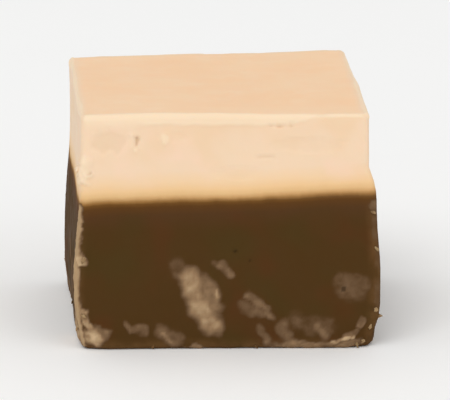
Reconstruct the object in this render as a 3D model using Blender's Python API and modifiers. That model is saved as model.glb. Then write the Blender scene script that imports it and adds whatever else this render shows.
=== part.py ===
"""A cut cube of two-layer fudge: a thick chocolate layer with a pale layer set on it.

Blender 4.5 script, in metres, +Z up. The front face looks towards -Y and the origin is
under the middle of the base. Each layer is one closed solid, cut from a slab that was
poured twice, so both share the four cut walls and the uneven seam between them.
"""

import math

import bmesh
import bpy
from mathutils import Vector, noise

MM = 0.001

# Driving dimensions of the cut piece
WIDTH = 30.0 * MM  # across the chocolate layer, where it is widest
DEPTH = 27.2 * MM  # front to back
HEIGHT = 23.7 * MM
SEAM_HEIGHT = 15.0 * MM  # where the pale layer begins, at the middle
SEAM_GAP = 0.3 * MM  # clearance between the two solids

# The cuts aren't square to each other
SKEW = 1.4 * MM  # how far the back of the piece lies to the left of its front
BACK_SPLAY = 0.45 * MM  # how much deeper the right side is than the middle
TOP_RISE = 0.45 * MM  # how much the back right corner of the top stands up
TOP_SWELL = 0.10 * MM  # height of the long swells left by spreading the top
SEAM_TILT = 0.20 * MM  # rise of the seam from the middle to the right wall
SEAM_FALL = 0.20 * MM  # fall of the seam from the middle to the back wall
SEAM_WAVE = 0.14 * MM  # height of the waves in the seam
WANDER = 0.12 * MM  # how far the knife strays from a flat cut

# Edge rounding
EDGE_ROUND = 0.55 * MM
ROUND_SEGMENTS = 3
WEAR_REACH = 2.8 * MM  # how far along the base a worn corner reaches
WEAR_RISE = 5.0 * MM  # and how far up the vertical edge

CELL = 1.5 * MM  # spacing of the lattice that carries the form
ON_SURFACE = 1e-7  # a lattice point this near a limit lies on it

# How far each cut wall stands inside the block's full outline: pairs of a height and an
# inset, from the base up, with an even S from one to the next
LEFT = ((0.0, 0.35 * MM), (4.0 * MM, 0.0), (6.5 * MM, 0.0), (17.0 * MM, 0.6 * MM))
RIGHT = (
    (0.0, 0.5 * MM),
    (3.5 * MM, 0.0),
    (8.0 * MM, 0.0),
    (14.0 * MM, 0.35 * MM),
    (16.0 * MM, 0.4 * MM),
    (18.2 * MM, 1.15 * MM),
)
FRONT = ((0.0, 0.1 * MM), (2.0 * MM, 0.0), (10.0 * MM, 0.0), (23.0 * MM, 0.3 * MM))
BACK = ((0.0, 0.4 * MM), (3.0 * MM, 0.0), (9.0 * MM, 0.0), (20.0 * MM, 0.45 * MM))

# How deep each corner of the base is worn, by the signs of its x and y
CORNER_WEAR = {
    (-1, -1): 0.45 * MM,
    (1, -1): 0.95 * MM,
    (1, 1): 0.50 * MM,
    (-1, 1): 0.80 * MM,
}


def smooth(t):
    """0 below 0, 1 above 1, and an even S between."""
    t = min(max(t, 0.0), 1.0)
    return t * t * (3.0 - 2.0 * t)


def swell(x, y, wavelength, seed):
    """A soft wave between -1 and 1 over the plan, the same each run."""
    return noise.noise(Vector((x / wavelength, y / wavelength, seed))) * 2.0


def seam_height(x, y):
    tilt = SEAM_TILT * 2 * x / WIDTH - SEAM_FALL * 2 * y / DEPTH
    return SEAM_HEIGHT + tilt + SEAM_WAVE * swell(x, y, 9.0 * MM, 3.7)


def top_height(x, y):
    share = smooth(0.5 + x / WIDTH) * smooth(0.5 + y / DEPTH)
    return HEIGHT + TOP_RISE * share + TOP_SWELL * swell(x, y, 12.0 * MM, 8.1)


def wall_inset(wall, z):
    """The inset of a wall at height z, read from its heights and insets."""
    inset = wall[0][1]
    for (low, before), (high, after) in zip(wall, wall[1:]):
        inset += (after - before) * smooth((z - low) / (high - low))
    return inset


def corner_wear(x, y, z):
    """How far a point near a corner of the base moves in along x and along y."""
    side = (1 if x > 0 else -1, 1 if y > 0 else -1)
    away = math.hypot(WIDTH / 2 - abs(x), DEPTH / 2 - abs(y))
    share = smooth(1.0 - away / WEAR_REACH) * smooth(1.0 - z / WEAR_RISE)
    return CORNER_WEAR[side] * share / math.sqrt(2.0)


def on_cut_walls(x, y, z):
    """The place of a lattice point once the walls are cut, skewed and worn."""
    across, along = 2 * x / WIDTH, 2 * y / DEPTH
    inset_x = wall_inset(RIGHT if x > 0 else LEFT, z)
    inset_y = wall_inset(BACK if y > 0 else FRONT, z)
    stray_x = WANDER * swell(y, z, 8.0 * MM, 1.3 + across) * abs(across) ** 3
    stray_y = WANDER * swell(x, z, 8.0 * MM, 5.9 + along) * abs(along) ** 3
    wear = corner_wear(x, y, z)
    new_x = x - across * inset_x + stray_x - math.copysign(wear, x)
    new_y = y - along * inset_y + stray_y - math.copysign(wear, y)
    new_x -= SKEW * y / DEPTH
    new_y += BACK_SPLAY * across * max(along, 0.0)
    return Vector((new_x, new_y, z))


def sliced_block(size):
    """A box of that size standing on the origin, cut into even cells."""
    bm = bmesh.new()
    bmesh.ops.create_cube(bm, size=1.0)
    for face in bm.faces:
        face.smooth = True
    bmesh.ops.translate(bm, verts=bm.verts, vec=(0.0, 0.0, 0.5))
    bmesh.ops.scale(bm, verts=bm.verts, vec=size)
    for axis in range(3):
        normal = Vector((0.0, 0.0, 0.0))
        normal[axis] = 1.0
        cells = round(size[axis] / CELL)
        start = 0.0 if axis == 2 else -size[axis] / 2
        for i in range(1, cells):
            everything = bm.verts[:] + bm.edges[:] + bm.faces[:]
            place = normal * (start + size[axis] * i / cells)
            bmesh.ops.bisect_plane(bm, geom=everything, plane_co=place, plane_no=normal)
    return bm


def box_edges(bm, size):
    """The edges of the lattice that lie along the twelve edges of the box."""
    found = []
    for edge in bm.edges:
        ends = [v.co for v in edge.verts]
        on_x = all(abs(abs(p.x) - size[0] / 2) < ON_SURFACE for p in ends)
        on_y = all(abs(abs(p.y) - size[1] / 2) < ON_SURFACE for p in ends)
        on_z = any(all(abs(p.z - z) < ON_SURFACE for p in ends) for z in (0.0, size[2]))
        if on_x + on_y + on_z == 2:
            found.append(edge)
    return found


def layer(name, low, high, height, seam_side, material, collection):
    """One layer of the slab, between the surfaces low(x, y) and high(x, y).

    All its edges are rounded but the rim at the seam, which stays sharp so that the
    walls of the two layers run on into each other.
    """
    size = (WIDTH, DEPTH, height)
    bm = sliced_block(size)
    weights = bm.edges.layers.float.new("bevel_weight_edge")
    seam_z = height if seam_side == "top" else 0.0
    for edge in box_edges(bm, size):
        if all(abs(v.co.z - seam_z) < ON_SURFACE for v in edge.verts):
            edge.smooth = False
        else:
            edge[weights] = 1.0
    for vert in bm.verts:
        x, y, share = vert.co.x, vert.co.y, vert.co.z / height
        z = low(x, y) * (1.0 - share) + high(x, y) * share
        vert.co = on_cut_walls(x, y, z)
    mesh = bpy.data.meshes.new(name)
    bm.to_mesh(mesh)
    bm.free()
    mesh.materials.append(material)
    obj = bpy.data.objects.new(name, mesh)
    collection.objects.link(obj)
    bevel = obj.modifiers.new("rounded edges", "BEVEL")
    bevel.limit_method = "WEIGHT"
    bevel.width = EDGE_ROUND
    bevel.segments = ROUND_SEGMENTS
    return obj


def fudge_material(name, colour, roughness):
    """A plain finish for one kind of fudge. The colour is linear RGB."""
    material = bpy.data.materials.new(name)
    material.use_nodes = True
    surface = material.node_tree.nodes["Principled BSDF"]
    surface.inputs["Base Color"].default_value = (*colour, 1.0)
    surface.inputs["Roughness"].default_value = roughness
    surface.inputs["Metallic"].default_value = 0.0
    return material


def centre_on_origin(objects):
    """Moves the layers in plan, so that the origin is under the middle of their box."""
    graph = bpy.context.evaluated_depsgraph_get()
    corners = [Vector(c) for o in objects for c in o.evaluated_get(graph).bound_box]
    for axis in range(2):
        places = [c[axis] for c in corners]
        for obj in objects:
            obj.location[axis] = -(min(places) + max(places)) / 2


def clear_scene():
    for obj in list(bpy.data.objects):
        bpy.data.objects.remove(obj)


def main():
    clear_scene()
    collection = bpy.data.collections.new("fudge_cube")
    bpy.context.scene.collection.children.link(collection)
    chocolate = fudge_material("chocolate_fudge", (0.076, 0.040, 0.015), 0.5)
    pale = fudge_material("pale_fudge", (0.88, 0.66, 0.46), 0.5)
    bottom = layer(
        "chocolate_layer",
        lambda x, y: 0.0,
        lambda x, y: seam_height(x, y) - SEAM_GAP / 2,
        SEAM_HEIGHT,
        "top",
        chocolate,
        collection,
    )
    upper = layer(
        "pale_layer",
        lambda x, y: seam_height(x, y) + SEAM_GAP / 2,
        top_height,
        HEIGHT - SEAM_HEIGHT,
        "bottom",
        pale,
        collection,
    )
    bpy.context.view_layer.update()
    centre_on_origin([bottom, upper])


main()
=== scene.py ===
"""A cut cube of two-layer fudge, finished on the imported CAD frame.

The CAD solids give the form. One fine skin is laid over both of them, so that the cut
walls run on across the seam. It is worked with dents, smears, torn edges and pits, and
split at the seam into one closed piece for each layer. The flakes stuck to it are pieces
of their own. The block's lengths are millimetres until a mesh is made. The floor, the lamps
and the camera are in metres.
"""

import math

import bmesh
import bpy
import numpy as np
from mathutils import Matrix, Vector, noise
from mathutils.bvhtree import BVHTree


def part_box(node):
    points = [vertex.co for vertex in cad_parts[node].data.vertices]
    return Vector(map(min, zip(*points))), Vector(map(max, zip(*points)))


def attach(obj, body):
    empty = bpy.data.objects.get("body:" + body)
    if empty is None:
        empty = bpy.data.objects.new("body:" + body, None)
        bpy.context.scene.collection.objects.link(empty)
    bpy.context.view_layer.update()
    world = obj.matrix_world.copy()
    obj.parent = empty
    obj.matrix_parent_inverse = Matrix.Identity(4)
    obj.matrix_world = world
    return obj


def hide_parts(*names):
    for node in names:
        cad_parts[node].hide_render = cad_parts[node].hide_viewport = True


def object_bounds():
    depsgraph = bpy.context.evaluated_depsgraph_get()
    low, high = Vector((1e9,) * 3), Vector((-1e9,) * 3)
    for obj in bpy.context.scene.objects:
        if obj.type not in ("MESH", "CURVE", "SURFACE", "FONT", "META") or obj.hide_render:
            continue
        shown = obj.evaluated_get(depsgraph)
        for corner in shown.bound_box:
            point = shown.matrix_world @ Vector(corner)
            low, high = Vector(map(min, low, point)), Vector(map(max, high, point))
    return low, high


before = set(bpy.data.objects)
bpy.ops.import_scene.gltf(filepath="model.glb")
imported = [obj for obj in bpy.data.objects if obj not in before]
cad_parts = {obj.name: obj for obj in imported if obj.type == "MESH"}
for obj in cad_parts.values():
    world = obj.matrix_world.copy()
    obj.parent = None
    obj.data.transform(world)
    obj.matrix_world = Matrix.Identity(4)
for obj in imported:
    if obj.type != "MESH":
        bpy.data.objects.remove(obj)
cad_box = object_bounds()

M = 0.001  # one millimetre in metres
LOW = np.array(cad_box[0]) / M
HIGH = np.array(cad_box[1]) / M
HALF_X = (HIGH[0] - LOW[0]) / 2
HALF_Y = (HIGH[1] - LOW[1]) / 2
HEIGHT = HIGH[2] - LOW[2]
SEAM = (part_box("chocolate_layer")[1].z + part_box("pale_layer")[0].z) / 2 / M

ROUND = 3.0  # how far from an edge the skin's lines begin to fan out round it
FINE = 0.13  # spacing of the skin's lines along the edges and the seam
COARSE = 0.24  # and in the middle of a wall
FINE_HOLD = 1.0  # how far from an edge or the seam the fine spacing holds
FINE_REACH = 3.5  # distance over which the spacing grows from one to the other
STATION_SAMPLES = 4001  # samples along a side, from which its lines are spaced
RAY_FAR = 40  # rays at the walls start this far from the middle of the block
RAY_NEAR = 12  # and rays that lay the skin start this far out of its core


# ---------------------------------------------------------------- numbers


def smooth(t):
    """0 below 0, 1 above 1, and an even S between, for a number or an array."""
    t = np.clip(t, 0.0, 1.0)
    return t * t * (3.0 - 2.0 * t)


def lumps(points, size, seed, octaves=2):
    """Soft noise from about -1 to 1 at each point, its lumps about size across."""
    places = (points / size + np.array([seed, 2.0 * seed, 3.0 * seed])).tolist()
    return np.array([noise.fractal(p, 1.0, 2.0, octaves) for p in places])


def linear(red, green, blue):
    """An sRGB colour, its parts from 0 to 255, as linear RGBA."""
    parts = [c / 255 for c in (red, green, blue)]
    return [c / 12.92 if c <= 0.04045 else ((c + 0.055) / 1.055) ** 2.4 for c in parts] + [1.0]


# ---------------------------------------------------------------- the skin's form


def tree_of(node):
    """A CAD node's surface, in millimetres, ready to be met by rays."""
    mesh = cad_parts[node].data
    places = [v.co / M for v in mesh.vertices]
    return BVHTree.FromPolygons(places, [tuple(p.vertices) for p in mesh.polygons])


TREES = {node: tree_of(node) for node in ("chocolate_layer", "pale_layer")}


def hit(start, along, nodes=("chocolate_layer", "pale_layer")):
    """The first point that a ray meets on these CAD nodes."""
    found = [TREES[n].ray_cast(Vector(start), Vector(along)) for n in nodes]
    found = [f for f in found if f[0] is not None]
    return np.array(min(found, key=lambda f: f[3])[0]) if found else None


def corner_posts(heights):
    """Where the four walls would meet if they were sharp, at each height.

    The result is [side of x, side of y, height] -> (x, y).
    """
    posts = np.zeros((2, 2, len(heights), 2))
    for a, side_x in enumerate((-1, 1)):
        for b, side_y in enumerate((-1, 1)):
            for k, z in enumerate(heights):
                in_x, in_y = side_x * (HALF_X - ROUND - 1), side_y * (HALF_Y - ROUND - 1)
                wall_x = hit((side_x * RAY_FAR, in_y, z), (-side_x, 0, 0))[0]
                wall_y = hit((in_x, side_y * RAY_FAR, z), (0, -side_y, 0))[1]
                posts[a, b, k] = (wall_x, wall_y)
    return posts


POST_HEIGHTS = [1.2, 3, 5, 7, 9, 11, 13, SEAM - 0.7, SEAM + 0.7, 17, 18, 19, 20, 21.5, HEIGHT - 1.4]
POSTS = corner_posts(POST_HEIGHTS)
MAP_POINTS = 25  # points each way in the maps of the seam and the top
MAP_REACH = 0.9  # how much of the way out the maps are measured, clear of the rounded edges


def height_map(start_z, direction, nodes):
    """Heights where upright rays meet a surface, on an even grid of u and v from -1 to 1."""
    out = np.zeros((MAP_POINTS, MAP_POINTS))
    for a, u in enumerate(np.linspace(-1, 1, MAP_POINTS)):
        for b, v in enumerate(np.linspace(-1, 1, MAP_POINTS)):
            x, y = plan(np.array([u * MAP_REACH]), np.array([v * MAP_REACH]), np.array([SEAM]))
            out[a, b] = hit((x[0], y[0], start_z), (0, 0, direction), nodes)[2]
    return out


def plan(u, v, z):
    """Plan place of a point u, v (each from -1 to 1) of the block, at height z."""
    corners = [
        [np.interp(z, POST_HEIGHTS, POSTS[a, b, :, axis]) for a in (0, 1) for b in (0, 1)]
        for axis in (0, 1)
    ]
    share = [(1 - u) * (1 - v) / 4, (1 - u) * (1 + v) / 4, (1 + u) * (1 - v) / 4, (1 + u) * (1 + v) / 4]
    return tuple(sum(s * c for s, c in zip(share, corners[axis])) for axis in (0, 1))


def read_map(grid, u, v):
    """A height read smoothly from a map."""
    a = np.clip((u + 1) / 2, 0, 1) * (MAP_POINTS - 1)
    b = np.clip((v + 1) / 2, 0, 1) * (MAP_POINTS - 1)
    a0 = np.minimum(a.astype(int), MAP_POINTS - 2)
    b0 = np.minimum(b.astype(int), MAP_POINTS - 2)
    fa, fb = a - a0, b - b0
    near = grid[a0, b0] * (1 - fb) + grid[a0, b0 + 1] * fb
    far = grid[a0 + 1, b0] * (1 - fb) + grid[a0 + 1, b0 + 1] * fb
    return near * (1 - fa) + far * fa


SEAM_TOP = height_map(SEAM + 4, -1, ("chocolate_layer",))
SEAM_UNDER = height_map(SEAM - 4, 1, ("pale_layer",))
SEAM_MAP = (SEAM_TOP + SEAM_UNDER) / 2
TOP_MAP = height_map(HEIGHT + 5, -1, ("pale_layer",))
SEAM_CLEAR = 0.45  # rays this near the seam could slip into the gap between the solids


def height_at(w, u, v):
    """The height of lattice level w: 0 at the base, 1 at the seam, 2 at the top."""
    seam, top = read_map(SEAM_MAP, u, v), read_map(TOP_MAP, u, v)
    return np.where(w < 1, w * seam, seam + (w - 1) * (top - seam))


def stations(length, places):
    """Places from 0 to length, close together near the given ones."""
    s = np.linspace(0, length, STATION_SAMPLES)
    away = np.min([np.abs(s - p) for p in places], axis=0)
    step = FINE + (COARSE - FINE) * smooth((away - FINE_HOLD) / FINE_REACH)
    count = np.concatenate(([0.0], np.cumsum(np.diff(s) / step[1:])))
    return np.interp(np.linspace(0, count[-1], round(count[-1]) + 1), count, s)


class Lattice:
    """The points and faces of a boxy skin, and where each one lies on the box."""

    def __init__(self):
        us = stations(2 * HALF_X, (0, 2 * HALF_X)) / HALF_X - 1
        vs = stations(2 * HALF_Y, (0, 2 * HALF_Y)) / HALF_Y - 1
        below = stations(SEAM, (0, SEAM)) / SEAM
        above = stations(HEIGHT - SEAM, (0, HEIGHT - SEAM)) / (HEIGHT - SEAM)
        ws = np.concatenate((below, 1 + above[1:]))
        self.seam_row = len(below) - 1
        shell = np.zeros((len(us), len(vs), len(ws)), bool)
        shell[[0, -1]] = shell[:, [0, -1]] = shell[:, :, [0, -1]] = True
        self.index = np.full(shell.shape, -1)
        self.index[shell] = np.arange(shell.sum())
        i, j, self.row = np.nonzero(shell)
        self.u, self.v, self.w = us[i], vs[j], ws[self.row]
        self.faces = np.concatenate([self.side(axis, end) for axis in range(3) for end in (0, -1)])

    def side(self, axis, end):
        """The faces of one side of the box, looking outwards."""
        grid = np.take(self.index, end, axis=axis)
        quads = np.stack([grid[:-1, :-1], grid[1:, :-1], grid[1:, 1:], grid[:-1, 1:]], -1)
        quads = quads.reshape(-1, 4)
        outward = (axis == 1) == (end == 0)
        return quads if outward else quads[:, ::-1]


def lay_skin(lattice):
    """Drops every point of the lattice on the CAD solids. Returns places and directions."""
    u, v = lattice.u, lattice.v
    z = height_at(lattice.w, u, v)
    x, y = plan(u, v, z)
    shy_u = np.clip(u, -1 + ROUND / HALF_X, 1 - ROUND / HALF_X)
    shy_v = np.clip(v, -1 + ROUND / HALF_Y, 1 - ROUND / HALF_Y)
    core_z = np.clip(z, ROUND, read_map(TOP_MAP, u, v) - ROUND)
    core_x, core_y = plan(shy_u, shy_v, z)
    core = np.stack((core_x, core_y, core_z), -1)
    out = np.stack((x, y, z), -1) - core
    out /= np.linalg.norm(out, axis=1)[:, None]
    seam = read_map(SEAM_MAP, u, v)
    places = np.zeros_like(out)
    for n in range(len(out)):
        off = core[n, 2] - seam[n]
        if abs(off) < SEAM_CLEAR:
            ends = []
            for clear in (-SEAM_CLEAR, SEAM_CLEAR):
                start = np.array((core[n, 0], core[n, 1], seam[n] + clear)) + RAY_NEAR * out[n]
                ends.append(hit(start, -out[n]))
            share = (off / SEAM_CLEAR + 1) / 2
            places[n] = ends[0] * (1 - share) + ends[1] * share
        else:
            places[n] = hit(core[n] + RAY_NEAR * out[n], -out[n])
    return places, out


def neighbours(lattice):
    """Each edge of the skin once, as two arrays of point numbers."""
    f = lattice.faces
    pairs = np.concatenate([f[:, [0, 1]], f[:, [1, 2]], f[:, [2, 3]], f[:, [3, 0]]])
    pairs = np.unique(np.sort(pairs, axis=1), axis=0)
    return pairs[:, 0], pairs[:, 1]


def ease_form(places, out, pairs, share, rounds):
    """Takes the facets of the solids off, by moving points in or out only."""
    a, b = pairs
    size = len(places)
    count = np.bincount(a, minlength=size) + np.bincount(b, minlength=size)
    for _ in range(rounds):
        mean = np.stack(
            [
                (np.bincount(a, places[b, k], size) + np.bincount(b, places[a, k], size)) / count
                for k in range(3)
            ],
            -1,
        )
        move = np.sum((mean - places) * out, axis=1) * share
        places = places + move[:, None] * out
    return places


EASE_SHARE = 0.6  # how far a point moves to the mean of its neighbours in each round
EASE_ROUNDS = 40
SEAM_DRIFT = 0.35  # how far the melted band climbs, from the middle to the right wall
MELT_RISE = 0.10  # how far over the seam it lies in the middle


class Skin:
    """The skin's points, with the distances that the surface work is placed by."""

    def __init__(self):
        self.lattice = Lattice()
        self.places, self.out = lay_skin(self.lattice)
        u, v = self.lattice.u, self.lattice.v
        z = self.places[:, 2]
        self.top = top = read_map(TOP_MAP, u, v)
        in_u, in_v = (1 - np.abs(u)) * HALF_X, (1 - np.abs(v)) * HALF_Y
        inward = np.minimum(in_u, in_v)
        self.from_post = np.hypot(in_u, in_v)
        self.from_base = np.hypot(inward, z)
        self.from_top = np.hypot(inward, top - z)
        self.from_edge = np.minimum(self.from_post, np.minimum(self.from_base, self.from_top))
        share = EASE_SHARE * smooth((self.from_edge - 0.9) / 1.5)  # none at the rounded edges
        pairs = neighbours(self.lattice)
        self.places = ease_form(self.places, self.out, pairs, share, EASE_ROUNDS)
        self.over_seam = self.places[:, 2] - read_map(SEAM_MAP, u, v)
        self.over_melt = self.over_seam - SEAM_DRIFT * u - MELT_RISE

    def wall(self, name):
        """How much each point belongs to a wall, and its place along it.

        The place is measured from the wall's middle, to the right as seen from outside.
        """
        axis, sign = {"front": (1, -1), "right": (0, 1), "back": (1, 1), "left": (0, -1)}[name]
        belongs = smooth((self.out[:, axis] * sign - 0.45) / 0.35)
        across = {
            "front": self.lattice.u * HALF_X,
            "right": self.lattice.v * HALF_Y,
            "back": -self.lattice.u * HALF_X,
            "left": -self.lattice.v * HALF_Y,
        }[name]
        return belongs, across


skin = Skin()

# ---------------------------------------------------------------- work on the surface

# Marks on the chocolate of the front wall. Each is a stroke of the knife that left a pale
# smear: where it starts and ends (along the wall from its middle, and up from the base),
# half its width, and how strong it is.
FRONT_SMEARS = (
    (-5.2, 8.4, -4.0, 7.0, 0.90, 0.24),
    (-3.8, 7.2, -2.7, 4.1, 1.10, 0.76),
    (-2.5, 4.4, -1.5, 2.5, 1.10, 0.72),
    (-2.1, 6.9, -1.1, 4.4, 0.80, 0.52),
    (-2.0, 3.2, -1.1, 2.1, 0.80, 0.60),
    (-1.2, 5.9, -1.0, 5.4, 0.28, 0.66),
    (-1.3, 8.9, -0.5, 8.4, 0.32, 0.28),
    (-0.5, 8.5, 0.4, 7.5, 0.40, 0.42),
    (2.4, 5.6, 4.6, 3.4, 0.50, 0.42),
    (1.9, 4.4, 3.6, 3.7, 0.70, 0.32),
    (3.7, 2.0, 4.4, 1.0, 0.50, 0.36),
    (5.8, 2.6, 6.4, 1.1, 0.60, 0.38),
    (7.4, 2.8, 10.3, 2.2, 1.10, 0.26),
    (9.5, 2.4, 10.3, 1.4, 0.60, 0.42),
    (11.9, 7.0, 14.0, 6.7, 0.90, 0.28),
    (12.1, 5.9, 13.4, 5.7, 0.85, 0.30),
    (-10.3, 2.7, -10.0, 2.2, 0.36, 0.38),
    (-9.5, 2.2, -8.5, 2.0, 0.42, 0.36),
    (-6.7, 1.7, -5.2, 0.8, 0.75, 0.42),
    (-6.5, 1.5, -5.9, 1.1, 0.32, 0.62),
)
# Torn places at the corners and edges of the front wall, written the same way
FRONT_TEARS = (
    (-14.3, 1.5, -13.7, 1.4, 0.90, 0.86),
    (-13.4, 1.9, -12.8, 1.6, 0.70, 0.42),
    (-14.6, 3.9, -14.3, 2.2, 0.42, 0.70),
    (-15.1, 9.4, -14.9, 9.1, 0.45, 0.92),
    (11.1, 0.7, 13.4, 1.0, 0.20, 0.78),
    (4.2, 0.5, 5.4, 0.4, 0.42, 0.42),
    (6.0, 0.5, 8.0, 0.5, 0.42, 0.55),
    (9.6, 0.3, 11.2, 0.4, 0.35, 0.50),
    (12.2, 0.2, 14.6, 0.6, 0.40, 0.55),
    (14.2, 3.0, 13.9, 2.5, 0.48, 0.42),
    (13.5, 1.6, 13.0, 1.2, 0.45, 0.36),
)
# The torn foot of the left wall, beside the front edge
LEFT_TEARS = (
    (13.2, 1.6, 9.0, 1.0, 1.5, 0.80),
    (13.3, 4.8, 12.0, 2.4, 1.1, 0.74),
)
SMEARS_PER_WALL = 7  # on the walls other than the front
SMEAR_SOFTNESS = 1.4  # width of a mark's faded rim, as a share of half its width
TEAR_SOFTNESS = 1.1
WALL_SEEDS = {"right": 11, "back": 23, "left": 37}

# How strong the crumbly line along each upright edge is, by the signs of its u and v
EDGE_CRUMBLE = {(-1, -1): 0.85, (1, -1): 0.42, (1, 1): 0.62, (-1, 1): 0.55}

# Dents and bumps in the pale layer's walls: the wall, the place along it and up it, the
# half sizes along and up, and how far it stands out (in, if negative)
# The pale material paints shade into the dents and a highlight onto the bumps.
PALE_DENTS = (
    ("front", -12.3, 21.0, 2.25, 1.20, -0.13),
    ("front", -10.0, 21.1, 0.35, 0.95, 0.08),
    ("front", -9.3, 21.1, 0.17, 0.60, -0.32),
    ("front", -9.5, 20.2, 0.35, 0.30, 0.09),
    ("front", -6.3, 21.3, 0.55, 0.65, 0.10),
    ("front", -4.9, 21.4, 0.90, 0.55, -0.05),
    ("front", 4.7, 19.4, 0.95, 0.16, -0.12),
    ("front", 5.2, 22.55, 0.35, 0.15, -0.14),
    ("front", 6.1, 22.45, 0.42, 0.24, -0.19),
    ("front", 7.4, 22.65, 0.26, 0.28, -0.16),
    ("front", -14.4, 17.9, 0.17, 0.17, -0.25),
    ("front", 1.5, 17.8, 2.6, 0.7, -0.05),
    ("front", 9.5, 20.6, 4.2, 0.8, -0.07),
    ("right", -6.5, 19.6, 0.2, 0.35, -0.22),
    ("right", 3.2, 21.2, 1.8, 0.9, -0.12),
    ("right", 8.4, 17.9, 0.5, 0.35, 0.11),
    ("back", -7.4, 20.8, 0.22, 0.22, -0.24),
    ("back", 2.1, 18.6, 2.1, 0.8, -0.11),
    ("back", 9.7, 21.4, 0.16, 0.5, -0.22),
    ("left", -8.1, 19.3, 0.18, 0.3, -0.24),
    ("left", 4.4, 21.3, 2.0, 0.9, -0.12),
    ("left", 9.0, 18.2, 0.4, 0.4, 0.12),
)
# Pits in the chocolate: the wall, the place along it and up it, and the radius
PITS = (("front", 0.9, 10.0, 0.20), ("front", 12.1, 6.1, 0.28), ("front", 2.4, 9.1, 0.13))
PIT_DEPTH = 0.20

# The torn bump on the front left edge of the pale layer: its height and half sizes
BUMP_HEIGHT = 18.0
BUMP_HALF_ALONG = 1.9
BUMP_HALF_UP = 1.8

# Flakes stuck to the block: the wall, the place along it and up it, and the length
TAN_FLAKES = (
    ("front", 15.5, 3.9, 0.80),
    ("front", 15.5, 10.2, 0.55),
    ("front", 15.4, 13.9, 0.60),
    ("front", 15.3, 2.1, 0.55),
    ("front", 14.7, 0.6, 0.70),
    ("front", 13.9, 0.4, 0.65),
    ("front", -14.7, 9.3, 0.80),
    ("front", -14.8, 3.4, 0.60),
    ("right", -12.9, 3.1, 0.70),
    ("right", 9.4, 2.2, 0.55),
    ("back", -13.8, 1.6, 0.75),
    ("back", 6.2, 1.4, 0.50),
    ("back", 14.1, 5.7, 0.60),
    ("left", 12.4, 1.9, 0.80),
    ("left", -12.8, 2.4, 0.60),
)
PALE_FLAKES = (
    ("left", 13.2, 18.3, 0.80),
    ("left", 12.6, 17.4, 0.60),
)
DARK_FLAKES = (
    ("front", 3.1, 0.3, 0.50),
    ("front", -7.8, 0.3, 0.45),
    ("right", -4.6, 0.4, 0.55),
    ("right", 13.1, 7.2, 0.50),
    ("back", 1.9, 0.4, 0.55),
    ("left", -3.3, 0.4, 0.50),
)


def stroke(along, up, mark, fray, softness):
    """How strongly a stroke marks each place of a wall, from 0 to its strength."""
    a0, z0, a1, z1, half, strength = mark
    run = np.array((a1 - a0, z1 - z0))
    to = np.stack((along - a0 + fray[0], up - z0 + fray[1]), -1)
    share = np.clip(to @ run / max(run @ run, 1e-9), 0, 1)
    away = np.linalg.norm(to - share[:, None] * run, axis=1)
    return strength * smooth(0.5 + (1.0 - away / half) / softness)


def random_smears(seed):
    """Smears for a wall, mostly low down and slanting, the same each run."""
    rng = np.random.default_rng(seed)
    marks = []
    for _ in range(SMEARS_PER_WALL):
        a, z = rng.uniform(-11, 11), rng.uniform(0.8, 9.5)
        angle, length = rng.uniform(-1.3, -0.2), rng.uniform(0.8, 4.0)
        end_z = max(z + length * math.sin(angle), 0.4)
        half, strength = rng.uniform(0.40, 0.95), rng.uniform(0.2, 0.5)
        marks.append((a, z, a + length * math.cos(angle), end_z, half, strength))
    return marks


def scraped(skin):
    """How much pale, torn fudge shows at each point of the chocolate, from 0 to 1."""
    p, up = skin.places, skin.places[:, 2]
    broad = [0.36 * lumps(p, 1.3, seed) for seed in (4.0, 6.0)]
    ragged = [b + 0.12 * lumps(p, 0.4, seed) for b, seed in zip(broad, (5.0, 7.0))]
    blotches = lumps(p, 0.8, 8.0, 3)
    soft = np.zeros(len(p))
    torn = np.zeros(len(p))
    smears = {name: random_smears(seed) for name, seed in WALL_SEEDS.items()}
    smears["front"] = FRONT_SMEARS
    for name, marks in smears.items():
        belongs, along = skin.wall(name)
        for mark in marks:
            soft = np.maximum(soft, belongs * stroke(along, up, mark, broad, SMEAR_SOFTNESS))
    for name, marks in {"front": FRONT_TEARS, "left": LEFT_TEARS}.items():
        belongs, along = skin.wall(name)
        for mark in marks:
            torn = np.maximum(torn, belongs * stroke(along, up, mark, ragged, TEAR_SOFTNESS))
    soft *= 1.0 + 0.24 * blotches
    torn *= 1.0 + 0.45 * blotches
    return np.maximum(np.maximum(soft, torn), edge_crumble(skin))


def edge_crumble(skin):
    """The pale crumbly line down each upright edge, and patches along the base."""
    p = skin.places
    level = np.zeros(len(p))
    for (side_u, side_v), strength in EDGE_CRUMBLE.items():
        here = (np.sign(skin.lattice.u) == side_u) & (np.sign(skin.lattice.v) == side_v)
        level[here] = strength
    on_line = np.stack((np.round(skin.lattice.u), np.round(skin.lattice.v), p[:, 2]), -1)
    width = 0.60 + 0.20 * lumps(on_line, 1.6, 9.0) + 0.22 * lumps(p, 0.5, 10.0, 3)
    gaps = smooth(0.5 + (level - 0.45) * 2.4 + 0.9 * lumps(on_line, 3.4, 12.0, 3))
    line = level * gaps * smooth((width - skin.from_post) / 0.55 + 0.5)
    patch = lumps(p * np.array((1, 1, 0.5)), 2.4, 13.0) + 0.4 * lumps(p, 0.5, 14.0)
    rim = 0.55 * smooth((0.25 + 0.8 * patch - skin.from_base) / 0.35)
    return np.maximum(line, rim)


def pits(skin):
    """How deep the pits of the chocolate are at each point, as a share of their depth."""
    out = np.zeros(len(skin.places))
    for wall, a, z, radius in PITS:
        belongs, along = skin.wall(wall)
        away = np.hypot(along - a, skin.places[:, 2] - z)
        out = np.maximum(out, belongs * smooth(1.4 - away / radius))
    return out


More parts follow.
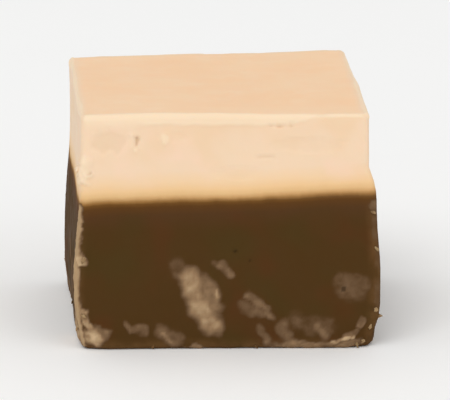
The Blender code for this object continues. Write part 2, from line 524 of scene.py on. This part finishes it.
def relief_of_chocolate(skin, scrape):
    """How far the chocolate stands proud of the CAD form at each point."""
    p = skin.places
    rough = lumps(p, 0.42, 20.0, 3)
    drag = lumps(p * np.array((1, 1, 0.16)), 0.5, 21.0)
    worn = scrape * (0.09 + 0.10 * rough)
    crest = 0.10 * smooth(scrape - 0.4) * smooth((0.6 - skin.from_post) / 0.4)
    calm = 0.030 * lumps(p, 3.2, 22.0) + 0.008 * drag
    return worn + crest + calm


def lip(skin):
    """The smeared lip below the rim of the top, from 0 to 1, ragged along its foot."""
    p = skin.places
    below = np.where(skin.lattice.w < 2, skin.top - p[:, 2], 1.6 * skin.from_top)
    on_front, along = skin.wall("front")
    flat = p * np.array((1, 1, 0.2))
    sag = 0.16 * lumps(flat, 2.2, 30.0, 3)
    # On the front it hangs deep, but for a thin line at the right, and fades out at the left
    front_depth = 1.15 - 0.80 * smooth((along - 6.0) / 5.0) + sag
    other_depth = 0.55 + 0.35 * lumps(flat, 2.8, 31.0)
    depth = on_front * front_depth + (1 - on_front) * other_depth
    softness = 0.26 + 0.9 * on_front * smooth((-7.5 - along) / 3.0)
    return smooth((depth - below) / softness + 0.5) * smooth((skin.from_post - 0.1) / 0.5)


def crumbly_patch(skin):
    """The torn bump where the front and left walls of the pale layer meet, from 0 to 1."""
    p = skin.places
    on_front, front_along = skin.wall("front")
    on_left, left_along = skin.wall("left")
    from_corner = np.where(on_front > on_left, HALF_X + front_along, HALF_Y - left_along)
    mine = np.maximum(on_front, on_left) * (skin.lattice.u < 0) * (skin.lattice.v < 0)
    fray = 0.35 * lumps(p, 0.9, 33.0)
    away = np.hypot(from_corner / BUMP_HALF_ALONG, (p[:, 2] - BUMP_HEIGHT) / BUMP_HALF_UP) + fray
    return mine * smooth((1.0 - away) / 0.5)


def dents(skin):
    """How far the dents and bumps of the pale walls stand out at each point."""
    out = np.zeros(len(skin.places))
    fray = 0.30 * lumps(skin.places, 0.8, 34.0)
    for wall, a, z, half_a, half_z, depth in PALE_DENTS:
        belongs, along = skin.wall(wall)
        away = np.hypot((along - a) / half_a, (skin.places[:, 2] - z) / half_z)
        out += depth * belongs * smooth((1.25 - away - fray) / 0.65)
    return out


def relief_of_pale(skin, lip_share, patch, dent):
    """How far the pale layer stands proud of the CAD form at each point."""
    p = skin.places
    calm = 0.030 * lumps(p, 3.6, 40.0) + 0.008 * lumps(p, 0.9, 41.0)
    torn = patch * (0.28 + 0.18 * lumps(p, 0.45, 42.0, 3))
    return calm + 0.10 * lip_share + torn + dent


def work_surface(skin):
    """Moves the skin's points to their final places. Returns what the materials read."""
    scrape = scraped(skin) * smooth(-skin.over_seam / 0.5)
    lip_share, patch, dent = lip(skin), crumbly_patch(skin), dents(skin)
    pit = pits(skin)
    dark = relief_of_chocolate(skin, scrape) - PIT_DEPTH * pit
    pale = relief_of_pale(skin, lip_share, patch, dent)
    is_pale = smooth(skin.over_seam / 0.6 + 0.5)
    move = dark * (1 - is_pale) + pale * is_pale
    on_base = (skin.lattice.w == 0) & (skin.from_base > 0.5)  # the cut base stays flat
    move[on_base] = 0.0
    skin.places = skin.places + move[:, None] * skin.out
    skin.places[:, 2] = np.maximum(skin.places[:, 2], 0.0)
    return {
        "over_seam": skin.over_melt,
        "scrape": scrape,
        # painted highlight and bounce light: the chocolate is lightened near its rounded upright edges
        # and along its base
        "edge_highlight": smooth((1.4 - skin.from_edge) / 1.2),
        # the lighter colour here is a painted highlight on the lip below the top's rim, and the paler
        # torn fudge of the bump
        "lip": np.maximum(lip_share, patch),
        # the pale material paints shade in the dents and highlight on the bumps from this
        "dent": dent,
        "pit": pit,
        "lid": smooth((skin.lattice.w == 2) * skin.from_top / 1.2),
    }


# ---------------------------------------------------------------- meshes


def mesh_object(name, places, faces, values):
    """A mesh object from places in millimetres, with a value on each point for materials."""
    mesh = bpy.data.meshes.new(name)
    mesh.from_pydata((places * M).tolist(), [], faces)
    for key, numbers in values.items():
        layer = mesh.attributes.new(key, "FLOAT", "POINT")
        layer.data.foreach_set("value", np.asarray(numbers, np.float32))
    mesh.polygons.foreach_set("use_smooth", [True] * len(mesh.polygons))
    obj = bpy.data.objects.new(name, mesh)
    bpy.context.scene.collection.objects.link(obj)
    return obj


def rim_loop(index):
    """The points of one lattice row round the block, in order."""
    south, north = index[:, 0], index[:, -1]
    west, east = index[0, :], index[-1, :]
    return np.concatenate((south[:-1], east[:-1], north[:0:-1], west[:0:-1]))


def half_of_skin(skin, name, above, values):
    """The part of the skin above or below the seam, closed across the block."""
    lattice = skin.lattice
    rows = lattice.row[lattice.faces]
    seam_row = lattice.seam_row
    mine = np.all(rows >= seam_row, axis=1) if above else np.all(rows <= seam_row, axis=1)
    faces = lattice.faces[mine]
    used = np.unique(faces)
    renumber = np.full(len(skin.places), -1)
    renumber[used] = np.arange(len(used))
    loop = renumber[rim_loop(lattice.index[:, :, seam_row])]
    places = np.concatenate((skin.places[used], skin.places[used][loop].mean(0)[None]))
    middle = len(used)
    turn = loop[::-1] if above else loop
    cap = [(int(a), int(b), middle) for a, b in zip(turn, np.roll(turn, -1))]
    numbers = {key: np.append(v[used], 0.0) for key, v in values.items()}
    obj = mesh_object(name, places, renumber[faces].tolist() + cap, numbers)
    mesh = obj.data
    for polygon in mesh.polygons[len(faces) :]:
        polygon.use_smooth = False
    sharpen_rim(mesh, loop)
    return obj


def sharpen_rim(mesh, loop):
    """Keeps the rim at the seam sharp, so that the hidden face doesn't shade the wall."""
    ring = set(zip(loop.tolist(), np.roll(loop, -1).tolist()))
    for edge in mesh.edges:
        a, b = edge.vertices
        if (a, b) in ring or (b, a) in ring:
            edge.use_edge_sharp = True


# ---------------------------------------------------------------- materials

FUDGE_IOR = 1.25  # low, for a weak gloss on walls that are seen nearly edge on
GLOW_WEIGHT = 0.12  # how much of the light goes into the fudge
GLOW_RADIUS = (1.0, 0.6, 0.35)  # how far its red, green and blue go, as shares of the depth


class Nodes:
    """A material's node tree, built from short calls that each return a socket."""

    def __init__(self, name):
        self.material = bpy.data.materials.new(name)
        self.material.use_nodes = True
        self.tree = self.material.node_tree
        self.surface = self.tree.nodes["Principled BSDF"]
        coordinates = self.tree.nodes.new("ShaderNodeTexCoord")
        self.place = coordinates.outputs["Object"]

    def link(self, value, socket):
        """Puts a socket's output or a plain value into an input."""
        if isinstance(value, bpy.types.NodeSocket):
            self.tree.links.new(value, socket)
        else:
            socket.default_value = value

    def attribute(self, name):
        """A value that the mesh carries on its points."""
        node = self.tree.nodes.new("ShaderNodeAttribute")
        node.attribute_name = name
        return node.outputs["Fac"]

    def stretched(self, x, y, z):
        """The place on the object, squeezed along each axis, for streaky noise."""
        node = self.tree.nodes.new("ShaderNodeVectorMath")
        node.operation = "MULTIPLY"
        self.link(self.place, node.inputs[0])
        node.inputs[1].default_value = (x, y, z)
        return node.outputs[0]

    def noise(self, size, detail=2.0, roughness=0.5, place=None, distortion=0.0):
        """Noise about 0.5, its lumps about size millimetres across."""
        node = self.tree.nodes.new("ShaderNodeTexNoise")
        node.inputs["Scale"].default_value = 1 / (size * M)
        node.inputs["Detail"].default_value = detail
        node.inputs["Roughness"].default_value = roughness
        node.inputs["Distortion"].default_value = distortion
        self.link(place or self.place, node.inputs["Vector"])
        return node.outputs["Fac"]

    def math(self, operation, first, second, clamp=False):
        node = self.tree.nodes.new("ShaderNodeMath")
        node.operation = operation
        node.use_clamp = clamp
        self.link(first, node.inputs[0])
        self.link(second, node.inputs[1])
        return node.outputs[0]

    def sway(self, value, amount, noise_socket):
        """The value moved up and down by a noise, by up to about amount."""
        centred = self.math("SUBTRACT", noise_socket, 0.5)
        return self.math("ADD", value, self.math("MULTIPLY", centred, 2.0 * amount))

    def fit(self, value, low, high, to_low=0.0, to_high=1.0):
        """The value's range from low to high carried to another range, softly."""
        node = self.tree.nodes.new("ShaderNodeMapRange")
        node.interpolation_type = "SMOOTHSTEP"
        self.link(value, node.inputs["Value"])
        ends = {"From Min": low, "From Max": high, "To Min": to_low, "To Max": to_high}
        for key, number in ends.items():
            node.inputs[key].default_value = number
        return node.outputs["Result"]

    def ramp(self, value, low, high, stops):
        """A colour for each value from low to high, from (value, colour) stops."""
        node = self.tree.nodes.new("ShaderNodeValToRGB")
        share = self.math("DIVIDE", self.math("SUBTRACT", value, low), high - low, clamp=True)
        self.link(share, node.inputs["Fac"])
        elements = node.color_ramp.elements
        while len(elements) < len(stops):
            elements.new(0.5)
        for element, (at, shade) in zip(elements, stops):
            element.position = (at - low) / (high - low)
            element.color = shade
        return node.outputs["Color"]

    def mix(self, first, second, share):
        """The first colour where share is 0, the second where it is 1."""
        node = self.tree.nodes.new("ShaderNodeMix")
        node.data_type = "RGBA"
        self.link(share, node.inputs["Factor"])
        self.link(first, node.inputs["A"])
        self.link(second, node.inputs["B"])
        return node.outputs["Result"]

    def bump(self, height, distance, strength):
        """Relief too fine for the mesh, distance millimetres deep."""
        node = self.tree.nodes.new("ShaderNodeBump")
        node.inputs["Distance"].default_value = distance * M
        node.inputs["Strength"].default_value = strength
        self.link(height, node.inputs["Height"])
        return node.outputs["Normal"]

    def finish(self, colour, roughness, normal, specular, glow_depth):
        """Links the finished look to the shader. Fudge lets a little light in."""
        self.surface.inputs["IOR"].default_value = FUDGE_IOR
        self.link(colour, self.surface.inputs["Base Color"])
        self.link(roughness, self.surface.inputs["Roughness"])
        self.link(normal, self.surface.inputs["Normal"])
        self.surface.inputs["Specular IOR Level"].default_value = specular
        self.surface.inputs["Subsurface Weight"].default_value = GLOW_WEIGHT
        self.surface.inputs["Subsurface Radius"].default_value = GLOW_RADIUS
        self.surface.inputs["Subsurface Scale"].default_value = glow_depth * M
        return self.material


CHOCOLATE = linear(78, 54, 25)
# painted shade in the pits
CHOCOLATE_PIT_SHADE = linear(46, 32, 15)
CHOCOLATE_RED = linear(90, 50, 26)
CHOCOLATE_OLIVE = linear(72, 58, 26)
# painted highlight of the chocolate's rounded edges and base, also the lighter shade of the dark flakes
CHOCOLATE_HIGHLIGHT_AND_FLAKE = linear(108, 78, 46)
TAN_FLAKE = linear(132, 104, 72)
TAN_FLAKE_LIGHT = linear(172, 144, 106)
PALE = linear(242, 213, 182)
PALE_WARM = linear(239, 205, 166)
PALE_PINK = linear(247, 213, 187)
# painted highlight of the lip and the bumps, also the lighter shade of the pale flakes
PALE_HIGHLIGHT_AND_FLAKE = linear(246, 221, 190)
# painted shade in the dents
PALE_DENT_SHADE = linear(228, 198, 164)
PALE_LID = linear(249, 211, 172)
PALE_LID_WARM = linear(249, 207, 166)
PALE_LID_LIGHT = linear(250, 218, 184)

# The colour by height over the seam, in millimetres. The layers melted into each other.
SEAM_STOPS = (
    (-3.0, CHOCOLATE),
    (-1.4, linear(83, 56, 31)),
    (-0.6, linear(93, 61, 29)),
    (-0.25, linear(112, 76, 36)),
    (0.0, linear(158, 116, 66)),
    (0.28, linear(204, 159, 105)),
    (0.6, linear(227, 185, 132)),
    (1.1, linear(238, 199, 149)),
    (1.8, linear(242, 208, 167)),
    (3.0, PALE),
)


def seam_colour(nodes):
    """The colour of both kinds of fudge and of the melted band between them."""
    height = nodes.sway(nodes.attribute("over_seam"), 0.22, nodes.noise(2.4, 3.0))
    return nodes.ramp(height, SEAM_STOPS[0][0], SEAM_STOPS[-1][0], SEAM_STOPS)


def chocolate_material():
    nodes = Nodes("chocolate_fudge")
    colour = seam_colour(nodes)
    deep = nodes.fit(nodes.attribute("over_seam"), -0.4, -2.0)
    red = nodes.fit(nodes.noise(5.0, 1.0), 0.48, 0.70, 0.0, 0.38)
    colour = nodes.mix(colour, CHOCOLATE_RED, nodes.math("MULTIPLY", red, deep))
    olive = nodes.fit(nodes.noise(6.5, 1.0), 0.48, 0.70, 0.0, 0.42)
    colour = nodes.mix(colour, CHOCOLATE_OLIVE, nodes.math("MULTIPLY", olive, deep))
    patchy = nodes.fit(nodes.noise(1.6, 3.0), 0.3, 0.7, 0.15, 0.75)
    # painted highlight along the rounded edges and painted bounce light along the base, in patches
    edge_highlight = nodes.math("MULTIPLY", nodes.attribute("edge_highlight"), patchy)
    colour = nodes.mix(colour, CHOCOLATE_HIGHLIGHT_AND_FLAKE, nodes.math("MULTIPLY", edge_highlight, deep))
    grain = nodes.noise(0.9, 3.0, 0.5, distortion=0.3)
    level = nodes.sway(nodes.attribute("scrape"), 0.16, grain)
    marked = nodes.fit(nodes.attribute("scrape"), 0.0, 0.2)
    shown = nodes.math("MULTIPLY", nodes.fit(level, -0.05, 0.35), marked)
    torn = nodes.ramp(
        level,
        0.0,
        1.2,
        (
            (0.0, linear(80, 55, 30)),
            (0.35, linear(110, 85, 61)),
            (0.65, linear(150, 121, 90)),
            (0.9, linear(180, 152, 117)),
            (1.2, linear(204, 176, 140)),
        ),
    )
    colour = nodes.mix(colour, torn, shown)
    # painted shade: the pits are darkened
    colour = nodes.mix(colour, CHOCOLATE_PIT_SHADE, nodes.fit(nodes.attribute("pit"), 0.1, 0.9, 0.0, 0.55))
    roughness = nodes.fit(nodes.noise(1.8, 3.0), 0.3, 0.7, 0.62, 0.86)
    height = nodes.math("MULTIPLY", grain, nodes.fit(nodes.attribute("scrape"), 0.05, 0.4, 0.08, 1.0))
    return nodes.finish(colour, roughness, nodes.bump(height, 0.06, 0.6), 0.12, 1.0)


def pale_material():
    nodes = Nodes("pale_fudge")
    colour = seam_colour(nodes)
    high = nodes.fit(nodes.attribute("over_seam"), 0.8, 2.4)
    warm = nodes.fit(nodes.noise(5.5, 2.0), 0.48, 0.7, 0.0, 0.5)
    colour = nodes.mix(colour, PALE_WARM, nodes.math("MULTIPLY", warm, high))
    pink = nodes.fit(nodes.noise(4.0, 2.0), 0.52, 0.72, 0.0, 0.55)
    colour = nodes.mix(colour, PALE_PINK, nodes.math("MULTIPLY", pink, high))
    spread = nodes.noise(7.0, 3.0, 0.55, nodes.stretched(0.6, 1.0, 1.0))
    lid = nodes.mix(PALE_LID, PALE_LID_WARM, nodes.fit(spread, 0.42, 0.66))
    lid = nodes.mix(lid, PALE_LID_LIGHT, nodes.fit(nodes.noise(3.1, 3.0), 0.52, 0.74, 0.0, 0.35))
    colour = nodes.mix(colour, lid, nodes.math("MULTIPLY", nodes.attribute("lid"), 0.95))
    dent = nodes.attribute("dent")
    # painted shade in the dents, darker, and painted highlight on the bumps, lighter
    colour = nodes.mix(colour, PALE_DENT_SHADE, nodes.fit(dent, -0.02, -0.28, 0.0, 0.95))
    colour = nodes.mix(colour, PALE_HIGHLIGHT_AND_FLAKE, nodes.fit(dent, 0.03, 0.13, 0.0, 0.85))
    # painted highlight along the lip below the top's rim; paler torn fudge on the bump
    colour = nodes.mix(colour, PALE_HIGHLIGHT_AND_FLAKE, nodes.math("MULTIPLY", nodes.attribute("lip"), 0.8))
    roughness = nodes.fit(nodes.noise(2.2, 3.0), 0.3, 0.7, 0.50, 0.66)
    grain = nodes.noise(0.7, 3.0, 0.5)
    return nodes.finish(colour, roughness, nodes.bump(grain, 0.012, 0.5), 0.4, 2.0)


# ---------------------------------------------------------------- flakes

OFF_WALL = 9  # how much farther off the points of other walls count, for a flake's place


def flake(bm, place, length, rng):
    """Adds one ragged flake to a mesh, half sunk in the surface at a place on the skin."""
    shape = Matrix.Diagonal(length * rng.uniform((0.9, 0.5, 0.35), (1.1, 0.8, 0.55))).to_4x4()
    turn = Matrix.Rotation(rng.uniform(0, math.pi), 4, Vector(rng.normal(size=3)))
    seed = rng.uniform(0, 50)
    for vert in bmesh.ops.create_icosphere(bm, subdivisions=3, radius=0.5)["verts"]:
        ragged = 1.0 + 0.55 * noise.fractal(vert.co * 3.4 + Vector((seed, 0, 0)), 1.0, 2.0, 3)
        vert.co = turn @ shape @ (vert.co * ragged) + Vector(place)


def flakes(name, sites, seed):
    """One mesh of all the flakes of a kind."""
    bm = bmesh.new()
    rng = np.random.default_rng(seed)
    for wall, a, z, length in sites:
        belongs, along = skin.wall(wall)
        off_wall = OFF_WALL * (belongs < 0.5)
        nearest = np.argmin(np.hypot(along - a, skin.places[:, 2] - z) + off_wall)
        place = skin.places[nearest].copy()
        place[2] = max(place[2], length * 0.3)
        flake(bm, place, length, rng)
    for vert in bm.verts:
        vert.co.z = max(vert.co.z, 0.0)
    for face in bm.faces:
        face.smooth = True
    mesh = bpy.data.meshes.new(name)
    bm.to_mesh(mesh)
    bm.free()
    mesh.transform(Matrix.Scale(M, 4))
    obj = bpy.data.objects.new(name, mesh)
    bpy.context.scene.collection.objects.link(obj)
    return obj


def flake_material(name, low, high):
    """Flakes of torn fudge, each a slightly different shade."""
    nodes = Nodes(name)
    shade = nodes.mix(low, high, nodes.fit(nodes.noise(0.8, 3.0), 0.3, 0.7))
    roughness = nodes.fit(nodes.noise(0.9, 2.0), 0.3, 0.7, 0.5, 0.7)
    return nodes.finish(shade, roughness, nodes.bump(nodes.noise(0.2, 2.0), 0.03, 0.5), 0.25, 1.0)


# ---------------------------------------------------------------- the stage

CENTRE = Vector((0.0, 0.0, HEIGHT * M / 2))


def make_floor():
    bpy.ops.mesh.primitive_circle_add(vertices=96, radius=2.5, fill_type="NGON")
    floor = bpy.context.object
    floor.name = "floor"
    nodes = Nodes("floor_paper")
    paper = nodes.mix(linear(254, 254, 253), linear(252, 252, 251), nodes.noise(60.0))
    nodes.link(paper, nodes.surface.inputs["Base Color"])
    nodes.surface.inputs["Roughness"].default_value = 0.9
    nodes.surface.inputs["Specular IOR Level"].default_value = 0.1
    floor.data.materials.append(nodes.material)


def aim(obj, target):
    obj.rotation_euler = (Vector(target) - obj.location).to_track_quat("-Z", "Y").to_euler()


def softbox(name, azimuth, elevation, distance, size, watts):
    """A square white lamp, placed round the block by angles, as the camera is."""
    lamp = bpy.data.lights.new(name, "AREA")
    lamp.shape = "SQUARE"
    lamp.size = size
    lamp.energy = watts
    obj = bpy.data.objects.new(name, lamp)
    bpy.context.scene.collection.objects.link(obj)
    obj.location = from_angles(azimuth, elevation, distance)
    aim(obj, CENTRE)


def from_angles(azimuth, elevation, distance):
    """A place round the block. Azimuth 0 is in front of it and 90 on its right."""
    a, e = math.radians(azimuth), math.radians(elevation)
    back = Vector((math.sin(a) * math.cos(e), -math.cos(a) * math.cos(e), math.sin(e)))
    return CENTRE + distance * back


def make_lights():
    world = bpy.data.worlds.new("studio")
    world.use_nodes = True
    world.node_tree.nodes["Background"].inputs["Color"].default_value = (1, 1, 1, 1)
    world.node_tree.nodes["Background"].inputs["Strength"].default_value = 0.70
    bpy.context.scene.world = world
    softbox("key", azimuth=-24, elevation=50, distance=2.2, size=1.2, watts=13.7)
    softbox("fill", azimuth=40, elevation=30, distance=2.2, size=1.3, watts=4.8)


def make_camera():
    camera = bpy.data.cameras.new("camera")
    camera.sensor_width = 36.0
    camera.lens = 398.0
    camera.clip_start = 0.01
    camera.clip_end = 20.0
    obj = bpy.data.objects.new("camera", camera)
    bpy.context.scene.collection.objects.link(obj)
    obj.location = from_angles(azimuth=-1.0, elevation=14.2, distance=0.5)
    aim(obj, CENTRE + Vector((0.65 * M, 0.0, -0.4 * M)))
    bpy.context.scene.camera = obj


# ---------------------------------------------------------------- making it all


def make_block():
    values = work_surface(skin)
    for name, above, material in (
        ("chocolate_layer_skin", False, chocolate_material()),
        ("pale_layer_skin", True, pale_material()),
    ):
        piece = half_of_skin(skin, name, above, values)
        piece.data.materials.append(material)
        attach(piece, "root")
        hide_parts("pale_layer" if above else "chocolate_layer")


def make_flakes():
    for name, sites, seed, slot, low, high in (
        ("tan_flakes", TAN_FLAKES, 71, "chocolate_fudge", TAN_FLAKE, TAN_FLAKE_LIGHT),
        ("dark_flakes", DARK_FLAKES, 83, "chocolate_fudge", CHOCOLATE, CHOCOLATE_HIGHLIGHT_AND_FLAKE),
        ("pale_flakes", PALE_FLAKES, 97, "pale_fudge", PALE, PALE_HIGHLIGHT_AND_FLAKE),
    ):
        piece = flakes(name, sites, seed)
        piece.data.materials.append(flake_material(name, low, high))
        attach(piece, "root")


bpy.context.scene.view_settings.view_transform = "Standard"
make_camera()
make_lights()
make_floor()
make_block()
make_flakes()
